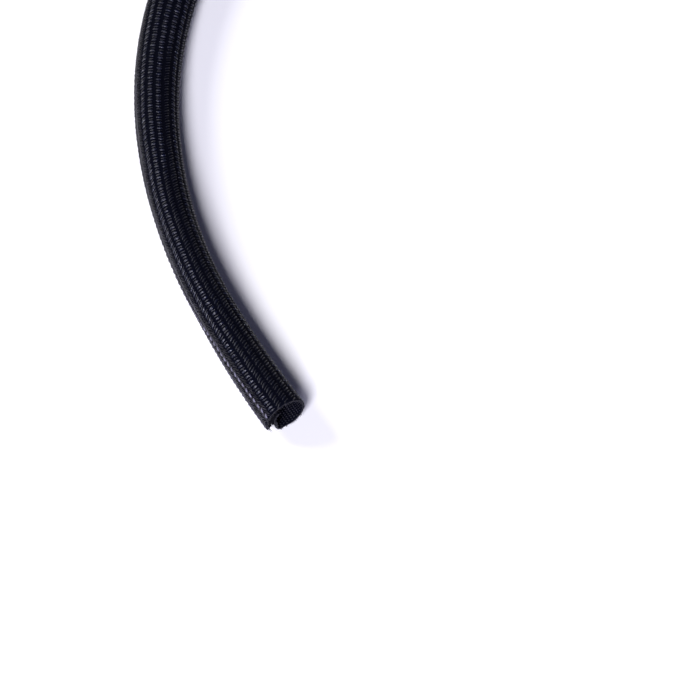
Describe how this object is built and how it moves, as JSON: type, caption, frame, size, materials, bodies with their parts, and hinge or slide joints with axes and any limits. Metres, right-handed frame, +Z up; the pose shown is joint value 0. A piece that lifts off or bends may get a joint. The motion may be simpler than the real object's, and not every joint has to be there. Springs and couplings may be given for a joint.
{
  "type": "hook and loop cable sleeve",
  "caption": "Flexible woven tube that closes along its length with a hook and loop lap, to gather cables into one run. Open at both ends.",
  "frame": {"origin": "middle of the footprint, on the surface that the sleeve lies on", "axes": "+Z up from the surface; +X across the open bend from the mouth end to the far end; both cut ends face -Y"},
  "size_m": [0.308, 0.2078, 0.014],
  "materials": {
    "woven_wrap": "glossy multifilament yarn, woven in ribs",
    "hook_tape": "woven tape with stiff hooks",
    "loop_tape": "brushed loop pile"
  },
  "bodies": {
    "root": {"woven_wrap": "woven_wrap", "hook_tape": "hook_tape", "loop_tape": "loop_tape"}
  },
  "joints": []
}
